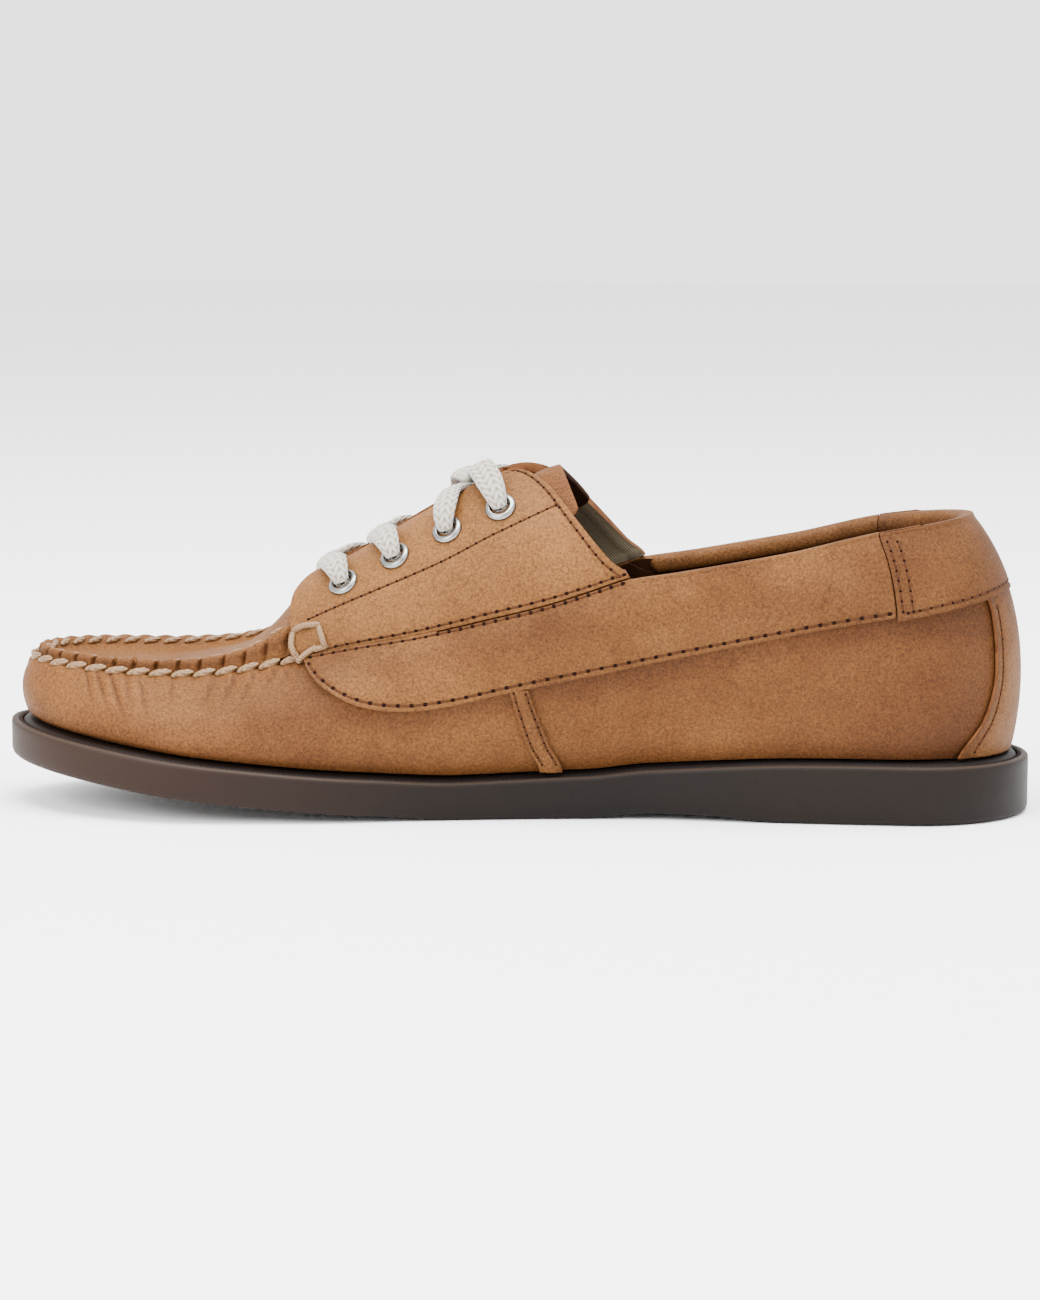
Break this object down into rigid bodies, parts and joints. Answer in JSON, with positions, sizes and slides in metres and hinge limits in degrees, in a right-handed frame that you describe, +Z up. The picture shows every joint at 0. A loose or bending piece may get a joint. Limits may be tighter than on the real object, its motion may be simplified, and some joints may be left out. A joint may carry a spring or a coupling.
{
  "type": "boat shoe",
  "caption": "Right lace-up boat shoe with a hand-sewn moccasin toe, side panels round the collar and a moulded rubber sole, standing empty.",
  "frame": {"origin": "on the floor, under the middle of the sole's length and width", "axes": "+X along the sole to the toe, +Y to the inner side of the foot, +Z up"},
  "size_m": [0.297, 0.104, 0.1006],
  "materials": {
    "sole_rubber": "matt moulded rubber, warm grey-brown",
    "upper_leather": "tan nubuck-like leather, fine grain",
    "panel_leather": "tan nubuck-like leather with cut edges",
    "tongue_leather": "soft tan leather, brown suede back",
    "sock_lining": "grey-beige textile sock on a board",
    "eyelet_metal": "polished nickel",
    "lace_cotton": "flat woven cream cotton"
  },
  "bodies": {
    "root": {"outsole": "sole_rubber", "insole": "sock_lining", "upper": "upper_leather", "tongue": "tongue_leather", "quarter_inner": "upper_leather", "side_panel_inner": "panel_leather", "side_strap_inner": "panel_leather", "eyelet_inner_1": "eyelet_metal", "eyelet_inner_2": "eyelet_metal", "eyelet_inner_3": "eyelet_metal", "eyelet_inner_4": "eyelet_metal", "quarter_outer": "upper_leather", "side_panel_outer": "panel_leather", "side_strap_outer": "panel_leather", "eyelet_outer_1": "eyelet_metal", "eyelet_outer_2": "eyelet_metal", "eyelet_outer_3": "eyelet_metal", "eyelet_outer_4": "eyelet_metal", "heel_tab": "panel_leather", "back_strip": "panel_leather", "lace_bar_1": "lace_cotton", "lace_bar_2": "lace_cotton", "lace_cross": "lace_cotton"}
  },
  "joints": []
}
